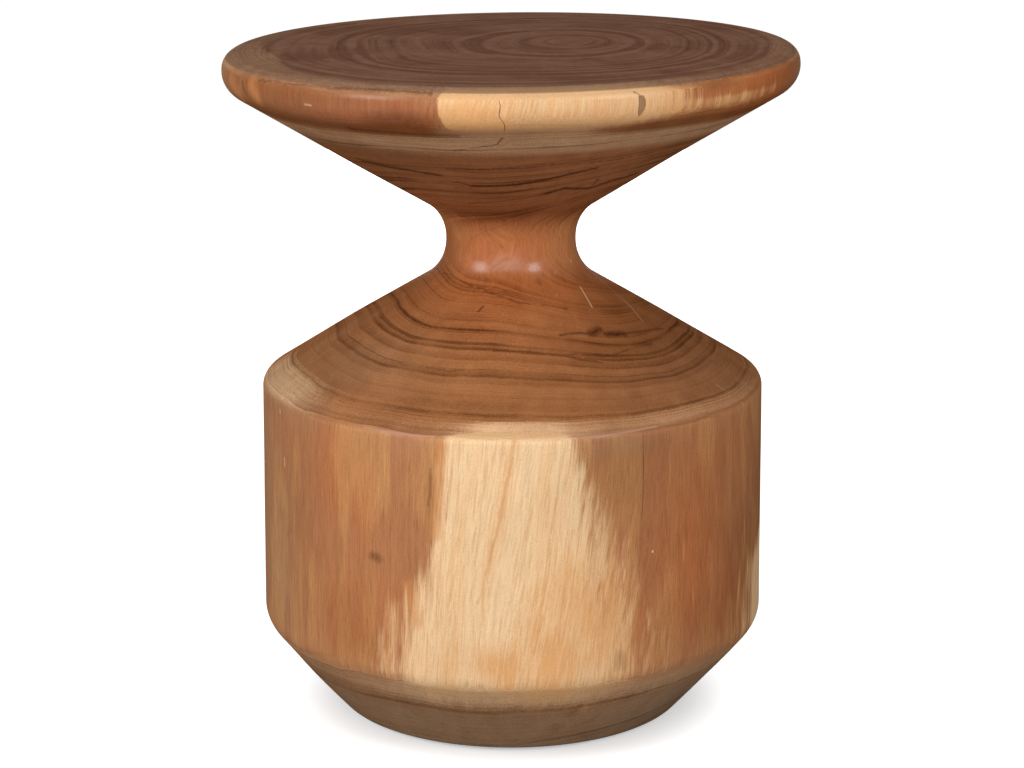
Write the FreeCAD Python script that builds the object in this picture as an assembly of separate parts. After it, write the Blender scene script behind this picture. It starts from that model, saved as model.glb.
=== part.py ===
import FreeCAD, Part
import math
import os

# Accent table turned from one log. Millimetres, +Z up, origin on the floor under the table's centre.
# The front of the table looks along -Y, and an azimuth is measured from the front towards +X.

# Heights of the section, from the floor up. Each run ends at the sharp corner before its rounding.
glide_stand = 1.5
base_cone_height = 71.1
drum_height = 184.4
shoulder_cone_height = 86.5
neck_length = 39.8
under_cone_height = 104.2
rim_height = 23.0

# Radii of the section's corners. The drum flares a little downwards, and the rim leans out a little.
foot_radius = 131.5
shoulder_radius = 190.5
drum_flare = 1.8
neck_radius = 49.1
top_radius = 213.8
rim_lean = 1.8

# Rounding of each corner.
foot_round = 12.0
drum_base_round = 21.8
shoulder_round = 8.4
neck_low_round = 34.0
neck_high_round = 34.0
rim_low_round = 20.7
rim_high_round = 11.3

# The cones are not quite straight: the middle of each section stands off its chord, out or in.
base_cone_crown = 1.2
shoulder_cone_crown = 0.8
under_cone_hollow = 1.35
cone_round = 1500.0

# Underside: a shallow turned hollow and the mark of the lathe's centre.
hollow_radius = 78.0
hollow_depth = 4.0
hollow_round = 3.0
centre_mark_radius = 6.0
centre_mark_depth = 9.0

# Four rubber glides, each in a recess and held by a screw through a steel washer.
glide_count = 4
glide_first_azimuth = 45.0
glide_circle_radius = 100.0
glide_radius = 12.0
glide_height = 6.0
glide_edge_round = 1.2
glide_recess_clearance = 0.25
washer_radius = 6.6
washer_hole_radius = 2.1
washer_thickness = 1.0
washer_seat_height = 3.2
washer_clearance = 0.25
screw_shank_radius = 1.75
screw_length = 22.0
screw_point_length = 5.0
screw_head_radius = 3.8
screw_head_height = 1.7
screw_head_round = 1.2
screw_hole_clearance = 0.15
cross_slot_length = 3.6
cross_slot_width = 0.8
cross_slot_depth = 0.9

# The sliver let into the rim, seen square on: a blunt top, a full right side and a point below.
plug_azimuth = 24.5
plug_top_below_top = 8.4
plug_length = 14.4
plug_top_width = 3.6
plug_full_width = 5.0
plug_depth = 7.0
plug_belly_share = 0.55
plug_tip_share = 0.35

# The splint let into the check, seen square on: a long strip that narrows downwards.
splint_azimuth = -62.5
splint_top_above_shoulder = 12.0
splint_length = 122.0
splint_top_width = 9.0
splint_bottom_width = 3.5
splint_depth = 14.0

# Room for glue round a let-in piece, a tool's overrun, and the share of a run that a rounding may take.
glue_line = 0.15
overrun = 5.0
longest_round_share = 0.49

drum_base_radius = shoulder_radius + drum_flare
rim_low_radius = top_radius + rim_lean
foot_height = glide_stand
drum_base_height = foot_height + base_cone_height
shoulder_height = drum_base_height + drum_height
neck_low_height = shoulder_height + shoulder_cone_height
neck_high_height = neck_low_height + neck_length
rim_low_height = neck_high_height + under_cone_height
top_height = rim_low_height + rim_height


def place(radius, height):
    """A point of the section, in the plane that is turned about the table's axis."""
    return FreeCAD.Vector(radius, 0, height)


def unit(vector):
    """The same direction at length one."""
    return vector / vector.Length


def crown_corner(low, high, stand_off):
    """The corner that makes a cone bulge or sink: halfway along, and off the chord, outwards if positive."""
    along = unit(high - low)
    outward = FreeCAD.Vector(along.z, 0, -along.x)
    return (low + high) / 2 + outward * stand_off


def rounded_outline(corners):
    """Straight runs joined by tangent arcs. Each corner is its point and its radius: zero keeps it sharp."""
    edges = []
    start = corners[0][0]
    for (before, _), (here, size), (after, _) in zip(corners, corners[1:], corners[2:]):
        if size == 0:
            edges.append(Part.LineSegment(start, here).toShape())
            start = here
            continue
        back = unit(before - here)
        onward = unit(after - here)
        half_angle = back.getAngle(onward) / 2
        shorter_run = min((before - here).Length, (after - here).Length)
        reach = min(size / math.tan(half_angle), longest_round_share * shorter_run)
        radius = reach * math.tan(half_angle)
        inward = unit(back + onward)
        centre = here + inward * (radius / math.sin(half_angle))
        first = here + back * reach
        last = here + onward * reach
        edges.append(Part.LineSegment(start, first).toShape())
        edges.append(Part.Arc(first, centre - inward * radius, last).toShape())
        start = last
    edges.append(Part.LineSegment(start, corners[-1][0]).toShape())
    return edges


def turned(corners):
    """The solid that a lathe makes of an outline which starts and ends on the axis."""
    edges = rounded_outline(corners)
    edges.append(Part.LineSegment(corners[-1][0], corners[0][0]).toShape())
    face = Part.Face(Part.Wire(edges))
    return face.revolve(FreeCAD.Vector(0, 0, 0), FreeCAD.Vector(0, 0, 1), 360)


def turned_log():
    """The log off the lathe: base cone, drum, crowned shoulder, waist, hollow under-cone and bullnosed rim."""
    foot = place(foot_radius, foot_height)
    drum_base = place(drum_base_radius, drum_base_height)
    shoulder = place(shoulder_radius, shoulder_height)
    neck_low = place(neck_radius, neck_low_height)
    neck_high = place(neck_radius, neck_high_height)
    rim_low = place(rim_low_radius, rim_low_height)
    corners = [
        (place(0, foot_height + hollow_depth), 0),
        (place(hollow_radius, foot_height), hollow_round),
        (foot, foot_round),
        (crown_corner(foot, drum_base, base_cone_crown), cone_round),
        (drum_base, drum_base_round),
        (shoulder, shoulder_round),
        (crown_corner(shoulder, neck_low, shoulder_cone_crown), cone_round),
        (neck_low, neck_low_round),
        (neck_high, neck_high_round),
        (crown_corner(neck_high, rim_low, -under_cone_hollow), cone_round),
        (rim_low, rim_low_round),
        (place(top_radius, top_height), rim_high_round),
        (place(0, top_height), 0),
    ]
    return turned(corners)


def centre_mark():
    """The cone that the lathe's centre leaves in the hollow of the underside."""
    mouth = foot_height + hollow_depth - overrun
    radius_at_mouth = centre_mark_radius * (centre_mark_depth + overrun) / centre_mark_depth
    return Part.makeCone(radius_at_mouth, 0, centre_mark_depth + overrun, place(0, mouth))


def surface_radius(log, height):
    """How far from the axis the turned surface lies at a height, found with a level line through the log."""
    beyond = rim_low_radius + drum_base_radius
    return log.common(Part.makeLine(place(0, height), place(beyond, height))).BoundBox.XMax


def square_on(log, outline, azimuth, depth):
    """A tool with the given outline of (across, height) edges, driven inwards to a depth under the surface."""
    face = Part.Face(Part.Wire(outline))
    middle = (face.BoundBox.ZMin + face.BoundBox.ZMax) / 2
    outside = max(rim_low_radius, drum_base_radius) + overrun
    inside = surface_radius(log, middle) - depth
    tool = face.extrude(FreeCAD.Vector(0, outside - inside, 0))
    tool.translate(FreeCAD.Vector(0, -outside, 0))
    tool.rotate(FreeCAD.Vector(0, 0, 0), FreeCAD.Vector(0, 0, 1), azimuth)
    return tool


def across(distance, height):
    """A point of a let-in piece's outline, seen square on."""
    return FreeCAD.Vector(distance, 0, height)


def plug_tool(log, gap):
    """The tool for the rim's sliver; a gap makes the mortise that much larger all round."""
    top = top_height - plug_top_below_top
    bottom = top - plug_length
    belly = top - plug_length * plug_belly_share
    left = -plug_full_width / 2 - gap
    right = plug_full_width / 2 + gap
    top_right = across(left + plug_top_width + 2 * gap, top + gap)
    top_left = across(left, top + gap)
    tip = across(left + plug_full_width * plug_tip_share, bottom - gap)
    heel = across(left, (belly + bottom) / 2)
    outline = [
        Part.LineSegment(top_left, top_right).toShape(),
        Part.Arc(top_right, across(right, belly), tip).toShape(),
        Part.LineSegment(tip, heel).toShape(),
        Part.LineSegment(heel, top_left).toShape(),
    ]
    return square_on(log, outline, plug_azimuth, plug_depth + gap)


def splint_tool(log, gap):
    """The tool for the drum's splint; a gap makes the groove that much larger all round."""
    top = shoulder_height + splint_top_above_shoulder + gap
    bottom = shoulder_height + splint_top_above_shoulder - splint_length - gap
    half_top = splint_top_width / 2 + gap
    half_bottom = splint_bottom_width / 2 + gap
    points = [
        across(-half_top, top),
        across(half_top, top),
        across(half_bottom, bottom),
        across(-half_bottom, bottom),
    ]
    outline = [Part.LineSegment(a, b).toShape() for a, b in zip(points, points[1:] + points[:1])]
    return square_on(log, outline, splint_azimuth, splint_depth + gap)


def glide_centres():
    """Where the glides stand, on their circle."""
    for number in range(glide_count):
        angle = math.radians(glide_first_azimuth + number * 360 / glide_count)
        centre = FreeCAD.Vector(glide_circle_radius * math.cos(angle), glide_circle_radius * math.sin(angle), 0)
        yield number + 1, centre


def glide_recess():
    """The drilled recess that a glide sits in, with the pilot hole of its screw above it."""
    bore = Part.makeCylinder(glide_radius + glide_recess_clearance, glide_height + overrun, place(0, -overrun))
    pilot_radius = screw_shank_radius + screw_hole_clearance
    pilot_top = washer_seat_height - washer_thickness + screw_length + screw_hole_clearance
    return bore.fuse(Part.makeCylinder(pilot_radius, pilot_top, place(0, 0)))


def glide_pad():
    """The rubber glide: a round pad with a soft lower edge, a hole for the screw and a seat for the washer."""
    corners = [
        (place(0, 0), 0),
        (place(glide_radius, 0), glide_edge_round),
        (place(glide_radius, glide_height), 0),
        (place(0, glide_height), 0),
    ]
    seat = Part.makeCylinder(washer_radius + washer_clearance, washer_seat_height)
    hole = Part.makeCylinder(screw_shank_radius + screw_hole_clearance, glide_height)
    return turned(corners).cut(seat).cut(hole)


def glide_washer():
    """The flat steel washer, pressed up against the web of the glide."""
    low = place(0, washer_seat_height - washer_thickness)
    disc = Part.makeCylinder(washer_radius, washer_thickness, low)
    return disc.cut(Part.makeCylinder(washer_hole_radius, washer_thickness, low))


def glide_screw():
    """The pan-head wood screw, head down, with a pointed end and a cross recess."""
    seat = washer_seat_height - washer_thickness
    tip = seat + screw_length
    head_low = seat - screw_head_height
    corners = [
        (place(0, head_low), 0),
        (place(screw_head_radius, head_low), screw_head_round),
        (place(screw_head_radius, seat), 0),
        (place(screw_shank_radius, seat), 0),
        (place(screw_shank_radius, tip - screw_point_length), 0),
        (place(0, tip), 0),
    ]
    corner = FreeCAD.Vector(-cross_slot_length / 2, -cross_slot_width / 2, head_low)
    slot = Part.makeBox(cross_slot_length, cross_slot_width, cross_slot_depth, corner)
    crossing = slot.copy()
    crossing.rotate(FreeCAD.Vector(0, 0, 0), FreeCAD.Vector(0, 0, 1), 90)
    return turned(corners).cut(slot.fuse(crossing))


def save(name, shape):
    """Write one piece, and say how many solids it has and its volume."""
    print(name, "solids", len(shape.Solids), "valid", shape.isValid(), "volume", round(shape.Volume, 1))
    shape.exportStep("parts/" + name + ".step")


os.makedirs("parts", exist_ok=True)
log = turned_log()
trunk = log.cut(centre_mark()).cut(plug_tool(log, glue_line)).cut(splint_tool(log, glue_line))
for _, centre in glide_centres():
    recess = glide_recess()
    recess.translate(centre)
    trunk = trunk.cut(recess)
save("trunk", trunk)
save("rim_plug", log.common(plug_tool(log, 0)))
save("drum_splint", log.common(splint_tool(log, 0)))
for number, centre in glide_centres():
    for name, piece in (("pad", glide_pad()), ("washer", glide_washer()), ("screw", glide_screw())):
        piece.translate(centre)
        save("glide_{}_{}".format(name, number), piece)
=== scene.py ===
"""Accent table turned from one log. Metres, +Z up, front along -Y; azimuths go from the front to +X."""
import math
import bpy
import numpy as np
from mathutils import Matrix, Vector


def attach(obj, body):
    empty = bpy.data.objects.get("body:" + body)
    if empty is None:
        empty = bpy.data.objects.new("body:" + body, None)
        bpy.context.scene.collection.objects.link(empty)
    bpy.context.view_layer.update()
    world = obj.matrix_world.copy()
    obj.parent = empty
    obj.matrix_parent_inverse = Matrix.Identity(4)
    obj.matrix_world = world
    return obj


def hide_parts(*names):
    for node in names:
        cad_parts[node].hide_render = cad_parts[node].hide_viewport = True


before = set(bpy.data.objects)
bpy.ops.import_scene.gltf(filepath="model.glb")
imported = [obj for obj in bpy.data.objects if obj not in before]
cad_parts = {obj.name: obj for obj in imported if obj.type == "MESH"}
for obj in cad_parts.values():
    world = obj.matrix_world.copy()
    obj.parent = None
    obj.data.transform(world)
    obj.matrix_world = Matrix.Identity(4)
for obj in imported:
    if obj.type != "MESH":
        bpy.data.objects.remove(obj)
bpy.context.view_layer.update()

# The camera stands where the photographer stood: two metres in front, just above the tabletop,
# looking down a little through a long lens that is raised to leave room over the table.
CAMERA_PLACE = (0.0, -2.1249, 0.79466)
CAMERA_PITCH = math.radians(15.172)
CAMERA_LENS = 100.54
CAMERA_SENSOR = 36.0
CAMERA_SHIFT = (0.00098, 0.03715)

camera_data = bpy.data.cameras.new("camera")
camera_data.lens = CAMERA_LENS
camera_data.sensor_width = CAMERA_SENSOR
camera_data.shift_x, camera_data.shift_y = CAMERA_SHIFT
camera = bpy.data.objects.new("camera", camera_data)
camera.location = CAMERA_PLACE
camera.rotation_euler = (math.pi / 2 - CAMERA_PITCH, 0, 0)
bpy.context.scene.collection.objects.link(camera)
bpy.context.scene.camera = camera
bpy.context.scene.view_settings.view_transform = "Standard"

# The room: a wide white floor that keeps the soft shadow under the table and is lifted to white away
# from it, soft boxes in front to the left, to the right and low down, a wide one overhead, and dim walls.
FLOOR_RADIUS = 14.0
FLOOR_STEPS = 64
FLOOR_WHITE = 0.72
FLOOR_LIFT = (0.43, 0.92)
FLOOR_LIFT_REACH = (0.126, 0.192)
FLOOR_BOUNCE = 0.39
ROOM_GREY = 0.11
LAMP_DISTANCE = 2.4
LAMPS = {
    "left soft box": (-56, 27, 0.85, 22.3),
    "right soft box": (42, 29, 0.75, 15.9),
    "low front soft box": (-8, 12, 2.2, 29.4),
    "overhead soft box": (0, 82, 1.9, 10.6),
    "rear soft box": (180, 12, 1.6, 20.0),
}
LAMP_TARGET = (0.0, 0.0, 0.27)


def feed(socket, value):
    """Give a socket its value: another node's output is linked, and a number or colour is set."""
    if isinstance(value, bpy.types.NodeSocket):
        socket.id_data.links.new(value, socket)
    else:
        socket.default_value = value


def node_of(tree, kind, inputs=(), **settings):
    """A new shader node of a tree with its settings, and its inputs fed in their order or by name."""
    made = tree.nodes.new("ShaderNode" + kind)
    for name, value in settings.items():
        setattr(made, name, value)
    named = inputs if isinstance(inputs, dict) else dict(enumerate(inputs))
    for name, value in named.items():
        feed(made.inputs[name], value)
    return made


def tree_of(values):
    """The node tree of the first output among some values."""
    return next(value.id_data for value in values if isinstance(value, bpy.types.NodeSocket))


def maths(operation, *values):
    """A Math node's output."""
    return node_of(tree_of(values), "Math", values, operation=operation).outputs[0]


def rise(value, low, high, to_low=0.0, to_high=1.0):
    """A smooth rise from one value to another while the input goes from low to high."""
    inputs = (value, low, high, to_low, to_high)
    return node_of(tree_of(inputs), "MapRange", inputs, interpolation_type="SMOOTHSTEP").outputs[0]


def grey(tone):
    """A linear grey."""
    return (tone, tone, tone, 1)


def at_azimuth(radius, azimuth, height):
    """The point at a radius from the axis, an azimuth in degrees from the front and a height."""
    turn = math.radians(azimuth)
    return (radius * math.sin(turn), -radius * math.cos(turn), height)


def white_to(tree):
    """1 for the rays that see the white background: those of the camera, of gloss and of glass."""
    seen = node_of(tree, "LightPath").outputs
    shown = maths("MAXIMUM", seen["Is Camera Ray"], seen["Is Glossy Ray"])
    return maths("MAXIMUM", shown, seen["Is Transmission Ray"])


floor_rim = np.linspace(0, 2 * math.pi, FLOOR_STEPS, endpoint=False)
floor_mesh = bpy.data.meshes.new("floor")
floor_points = np.stack([np.cos(floor_rim), np.sin(floor_rim), 0 * floor_rim], 1) * FLOOR_RADIUS
floor_mesh.from_pydata(floor_points.tolist(), [], [list(range(FLOOR_STEPS))])
floor = bpy.data.objects.new("floor", floor_mesh)
bpy.context.scene.collection.objects.link(floor)

floor_look = bpy.data.materials.new("white floor")
floor_look.use_nodes = True
tree = floor_look.node_tree
tree.nodes.clear()
white = node_of(tree, "BsdfDiffuse", [grey(FLOOR_WHITE)])
dull = node_of(tree, "BsdfDiffuse", [grey(FLOOR_BOUNCE)])
floor_place = node_of(tree, "TexCoord").outputs["Object"]
floor_reach = node_of(tree, "VectorMath", [floor_place], operation="LENGTH").outputs["Value"]
lift = node_of(tree, "Emission", {"Strength": rise(floor_reach, *FLOOR_LIFT_REACH, *FLOOR_LIFT)})
lifted = node_of(tree, "AddShader", (white.outputs[0], lift.outputs[0]))
floor_mix = node_of(tree, "MixShader", (white_to(tree), dull.outputs[0], lifted.outputs[0]))
node_of(tree, "OutputMaterial", [floor_mix.outputs[0]])
floor_mesh.materials.append(floor_look)

world = bpy.data.worlds.new("grey room")
world.use_nodes = True
tree = world.node_tree
walls = tree.nodes["Background"]
walls.inputs["Color"].default_value = grey(ROOM_GREY)
backdrop = node_of(tree, "Background", [grey(1)])
wall_mix = node_of(tree, "MixShader", (white_to(tree), walls.outputs[0], backdrop.outputs[0]))
feed(tree.nodes["World Output"].inputs["Surface"], wall_mix.outputs[0])
bpy.context.scene.world = world

for lamp_name, (azimuth, elevation, side, power) in LAMPS.items():
    lamp_data = bpy.data.lights.new(lamp_name, "AREA")
    lamp_data.shape = "SQUARE"
    lamp_data.size = side
    lamp_data.energy = power
    lamp = bpy.data.objects.new(lamp_name, lamp_data)
    away = LAMP_DISTANCE * math.cos(math.radians(elevation))
    above = LAMP_DISTANCE * math.sin(math.radians(elevation))
    lamp.location = at_azimuth(away, azimuth, LAMP_TARGET[2] + above)
    aim = lamp.location - Vector(LAMP_TARGET)
    lamp.rotation_euler = aim.to_track_quat("Z", "Y").to_euler()
    bpy.context.scene.collection.objects.link(lamp)

# The trunk is one seasoned log of dark heartwood with a pale sapwood rim, turned on a lathe to a
# foot cone, a drum, a shoulder cone, a waist and a dished head, then sanded and given a satin finish.
# Each row of the section is a corner's radius, its height and the radius of its rounding.
MILLIMETRE = 0.001
SECTION = (
    (0.0, 0.0145, 0.0),
    (0.0060, 0.0052, 0.0),
    (0.078, 0.0015, 0.003),
    (0.1315, 0.0015, 0.012),
    (0.16281, 0.03627, 1.5),
    (0.1923, 0.0726, 0.0218),
    (0.1905, 0.257, 0.0084),
    (0.12022, 0.30093, 1.5),
    (0.0491, 0.3435, 0.034),
    (0.0491, 0.3833, 0.034),
    (0.13164, 0.43655, 1.5),
    (0.2156, 0.4875, 0.0207),
    (0.2138, 0.5105, 0.0113),
    (0.0, 0.5105, 0.0),
)
ARC_STEP = math.radians(5.5)
RUN_STEP = 0.0052
LONGEST_ROUND_SHARE = 0.49
TURN_STEPS = 360


def run_between(start, end):
    """Points inside a straight run, a run step apart."""
    count = int(np.hypot(*(end - start)) / RUN_STEP)
    return start + (end - start) * np.linspace(0, 1, count + 2)[1:-1, None]


def rounded_section(corners):
    """The turned section: straight runs between corners, each corner replaced by the arc of its radius
    that touches both runs. Arcs are sampled by angle and runs by length."""
    places = np.array([c[:2] for c in corners])
    points = [places[:1]]
    for before, here, after, size in zip(places, places[1:], places[2:], [c[2] for c in corners[1:-1]]):
        if size == 0:
            points += [run_between(points[-1][-1], here), here[None]]
            continue
        back, onward = before - here, after - here
        runs = np.hypot(*back), np.hypot(*onward)
        back, onward = back / runs[0], onward / runs[1]
        half = math.acos(back @ onward) / 2
        reach = min(size / math.tan(half), LONGEST_ROUND_SHARE * min(runs))
        radius = reach * math.tan(half)
        centre = here + (back + onward) / np.hypot(*(back + onward)) * radius / math.sin(half)
        first = here + back * reach - centre
        bend = (math.pi - 2 * half) * np.sign(first[0] * onward[1] - first[1] * onward[0])
        turn = np.linspace(0, bend, max(4, math.ceil(abs(bend) / ARC_STEP)) + 1)
        arc = np.stack([np.cos(turn) * first[0] - np.sin(turn) * first[1],
                        np.sin(turn) * first[0] + np.cos(turn) * first[1]], 1) + centre
        points += [run_between(points[-1][-1], arc[0]), arc]
    points += [run_between(points[-1][-1], places[-1]), places[-1:]]
    return np.concatenate(points)


def solid_object(name, points, faces):
    """A smooth-faced object of the scene, from arrays of points and of faces."""
    mesh = bpy.data.meshes.new(name)
    mesh.from_pydata(points.tolist(), [], [f.tolist() for f in faces])
    mesh.polygons.foreach_set("use_smooth", np.ones(len(mesh.polygons), bool))
    made = bpy.data.objects.new(name, mesh)
    bpy.context.scene.collection.objects.link(made)
    return made


def turned_arrays(section, steps, centre=(0.0, 0.0)):
    """A section turned about an upright axis: point (i, j) is section point i at azimuth 360 j / steps,
    and the two ends of the section, which lie on the axis, are one point each."""
    turn = np.linspace(0, 2 * math.pi, steps, endpoint=False)
    inner = section[1:-1]
    points = np.stack([inner[:, :1] * np.cos(turn), inner[:, :1] * np.sin(turn),
                       inner[:, 1:] + 0 * turn], 2).reshape(-1, 3)
    rows = len(inner)
    grid = np.arange(rows * steps).reshape(rows, steps)
    following = np.roll(grid, -1, 1)
    quads = np.stack([grid[:-1], following[:-1], following[1:], grid[1:]], 2).reshape(-1, 4)
    low, high = rows * steps, rows * steps + 1
    ends = np.array([[0, 0, section[0, 1]], [0, 0, section[-1, 1]]])
    fan_low = np.stack([following[0], grid[0], np.full(steps, low)], 1)
    fan_high = np.stack([grid[-1], following[-1], np.full(steps, high)], 1)
    points = np.concatenate([points, ends]) + np.array([*centre, 0])
    return points, [*quads, *fan_low, *fan_high]


section = rounded_section(SECTION)
FOOT_RADIUS = SECTION[3][0]
TOP_HEIGHT = SECTION[-1][1]
outer = section[np.argmax(section[:, 0] > FOOT_RADIUS):]
outer = outer[outer[:, 1] <= TOP_HEIGHT - 1e-7]
slope = np.gradient(outer, axis=0)
slope /= np.hypot(slope[:, 0], slope[:, 1])[:, None]


def surface_at(height):
    """The turned surface at a height: its radius, and the outward and upward parts of its normal."""
    return (np.interp(height, outer[:, 1], outer[:, 0]), np.interp(height, outer[:, 1], slope[:, 1]),
            np.interp(height, outer[:, 1], -slope[:, 0]))


# Let-in pieces, seen square on, as (across, height) corners, and their azimuths and depths.
PLUG_AZIMUTH = 24.5
PLUG_TOP = 0.5021
PLUG_LENGTH = 0.0144
PLUG_TOP_WIDTH = 0.0036
PLUG_WIDTH = 0.0050
PLUG_DEPTH = 0.0070
PLUG_BELLY_SHARE = 0.55
PLUG_TIP_SHARE = 0.35
SPLINT_AZIMUTH = -62.5
SPLINT_TOP = 0.2690
SPLINT_LENGTH = 0.122
SPLINT_TOP_WIDTH = 0.0090
SPLINT_BOTTOM_WIDTH = 0.0035
SPLINT_DEPTH = 0.014
GLUE_LINE = 0.00015
TOOL_OVERRUN = 0.005


def plug_outline(gap):
    """The sliver's outline: flat top, straight left edge, a right edge on the parabola through its top
    right corner, its belly and its tip, and a cut-off point at the left."""
    left, right = -PLUG_WIDTH / 2 - gap, PLUG_WIDTH / 2 + gap
    top, bottom = PLUG_TOP + gap, PLUG_TOP - PLUG_LENGTH - gap
    belly = PLUG_TOP - PLUG_LENGTH * PLUG_BELLY_SHARE
    tip = left + PLUG_WIDTH * PLUG_TIP_SHARE
    heights = np.linspace(top, bottom, 12)
    curve = np.polyfit([top, belly, bottom], [left + PLUG_TOP_WIDTH + 2 * gap, right, tip], 2)
    side = np.stack([np.polyval(curve, heights), heights], 1)
    return np.concatenate([side, [[left, (belly + bottom) / 2]], [[left, top]]])


def splint_outline(gap):
    """The splint's outline: a strip that narrows downwards, with a step along it every few millimetres."""
    heights = np.linspace(SPLINT_TOP + gap, SPLINT_TOP - SPLINT_LENGTH - gap, 25)
    half = np.linspace(SPLINT_TOP_WIDTH, SPLINT_BOTTOM_WIDTH, 25) / 2 + gap
    return np.concatenate([np.stack([half, heights], 1), np.stack([-half, heights], 1)[::-1]])


def driven_arrays(outline, azimuth, inside, outside):
    """A prism: the outline, which runs clockwise seen from outside, at two distances from the axis, turned
    to its azimuth from the front."""
    turn = math.radians(azimuth)
    across, height = outline[::-1].T
    ends = [np.stack([across * math.cos(turn) + distance * math.sin(turn),
                      across * math.sin(turn) - distance * math.cos(turn), height], 1)
            for distance in (outside, inside)]
    count = len(outline)
    front = np.arange(count)
    following = np.roll(front, -1)
    sides = np.stack([front, front + count, following + count, following], 1)
    return np.concatenate(ends), [front, front[::-1] + count, *sides]


def driven_piece(outline, azimuth, depth):
    """A let-in piece's tool, from outside the log to a depth under its surface."""
    middle = (outline[:, 1].min() + outline[:, 1].max()) / 2
    return driven_arrays(outline, azimuth, surface_at(middle)[0] - depth, outer[:, 0].max() + TOOL_OVERRUN)


# Drying checks, pits and knocks: a path along the surface, as azimuths and heights by turns, the half width
# of its mouth and its depth, in millimetres. Each is cut as a wedge that runs out to nothing at both ends.
CLEFTS = {
    "rim check": ((-2.2, 503.5, -1.9, 499, -2.2, 492, -1.1, 486, -1.3, 478), 0.3, 3.5),
    "check under the rim": ((-9.3, 462.5, -3.6, 464, -2.4, 464.5, 0.3, 472.6), 0.35, 3),
    "right drum check": ((29.2, 257.5, 29.3, 225, 29.1, 191), 0.2, 3),
    "left drum check": ((-60.2, 139, -60.5, 105, -60.2, 73), 0.22, 3),
    "shoulder check": ((-55.4, 264, -55, 266.8, -54.6, 270), 0.28, 2),
    "second shoulder check": ((-46.6, 267.4, -45.2, 267.1), 0.3, 1.5),
    "neck pit": ((-17.2, 323.6, -16, 325.4, -15, 327.2), 0.75, 1.6),
    "knot check": ((30, 310, 34.5, 309.4, 38, 311.1, 42, 307.2), 0.45, 1.6),
    "second knot check": ((41.5, 307, 45, 306.2, 49, 306), 0.55, 1.6),
    "foot chip": ((-33.2, 10.5, -32.2, 11.8), 1.2, 1),
    "back check": ((163, 258.5, 163.6, 212, 163.2, 168), 0.25, 3.5),
}
CLEFT_STEPS = 14
CLEFT_PROUD = 0.0008


def cleft_arrays(path, half_width, depth):
    """A wedge along a path on the surface: at each step a triangle with two points proud of the surface
    and one at its depth, all scaled by the root of a hump that is small at the ends."""
    azimuth, height = np.reshape(path, (-1, 2)).T
    along = np.linspace(0, 1, CLEFT_STEPS)
    knots = np.linspace(0, 1, len(azimuth))
    azimuth = np.radians(np.interp(along, knots, azimuth))
    height = np.interp(along, knots, height) * MILLIMETRE
    half_width, depth = half_width * MILLIMETRE, depth * MILLIMETRE
    radius, out, up = surface_at(height)
    swell = np.sqrt(np.clip(4 * along * (1 - along), 0.03, 1))
    places = np.stack([radius * np.sin(azimuth), -radius * np.cos(azimuth), height], 1)
    normal = np.stack([out * np.sin(azimuth), -out * np.cos(azimuth), up], 1)
    heading = np.gradient(places, axis=0)
    side = np.cross(heading, normal)
    side /= np.linalg.norm(side, axis=1)[:, None]
    wide = side * (half_width * swell * (1 + CLEFT_PROUD / depth))[:, None]
    proud = places + normal * CLEFT_PROUD
    deep = places - normal * (depth * swell)[:, None]
    points = np.concatenate([proud - wide, proud + wide, deep])
    left = np.arange(CLEFT_STEPS)
    rows = np.stack([left, left + CLEFT_STEPS, left + 2 * CLEFT_STEPS], 1)
    after = np.roll(rows, -1, 1)
    sides = np.stack([rows[:-1], after[:-1], after[1:], rows[1:]], 2).reshape(-1, 4)
    return points, [*sides, rows[0][::-1], rows[-1]]


def cut_with(piece, tool, operation):
    """Cut a tool out of a piece, or keep only what both have, and leave the piece as one finished mesh."""
    cut = piece.modifiers.new("cut", "BOOLEAN")
    cut.operation = operation
    cut.solver = "MANIFOLD"
    cut.object = tool
    made = bpy.data.meshes.new_from_object(piece.evaluated_get(bpy.context.evaluated_depsgraph_get()))
    piece.modifiers.clear()
    spent = piece.data
    piece.data = made
    made.name = piece.name
    for mesh in (spent, tool.data):
        bpy.data.meshes.remove(mesh)


# The glides' recesses: a drilled seat and the pilot hole of the screw over it.
GLIDE_CIRCLE = 0.100
GLIDE_AZIMUTHS = (45, 135, 225, 315)
RECESS_SECTION = np.array(((0, -0.005), (0.01225, -0.005), (0.01225, 0.006), (0.0019, 0.006),
                           (0.0019, 0.02435), (0, 0.02435)))
RECESS_STEPS = 48


def joined(solids):
    """Several solids' arrays as one: the points end to end, and the faces counted on."""
    faces, count = [], 0
    for solid_points, solid_faces in solids:
        faces += [np.asarray(f) + count for f in solid_faces]
        count += len(solid_points)
    return np.concatenate([solid_points for solid_points, _ in solids]), faces


cuts = []
for azimuth in GLIDE_AZIMUTHS:
    turn = math.radians(azimuth)
    middle = GLIDE_CIRCLE * math.cos(turn), GLIDE_CIRCLE * math.sin(turn)
    cuts.append(turned_arrays(RECESS_SECTION, RECESS_STEPS, middle))
cuts.append(driven_piece(plug_outline(GLUE_LINE), PLUG_AZIMUTH, PLUG_DEPTH + GLUE_LINE))
cuts.append(driven_piece(splint_outline(GLUE_LINE), SPLINT_AZIMUTH, SPLINT_DEPTH + GLUE_LINE))
cuts += [cleft_arrays(*cleft) for cleft in CLEFTS.values()]
trunk_log = solid_object("trunk_log", *turned_arrays(section, TURN_STEPS))
cut_with(trunk_log, solid_object("cuts", *joined(cuts)), "DIFFERENCE")

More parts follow.
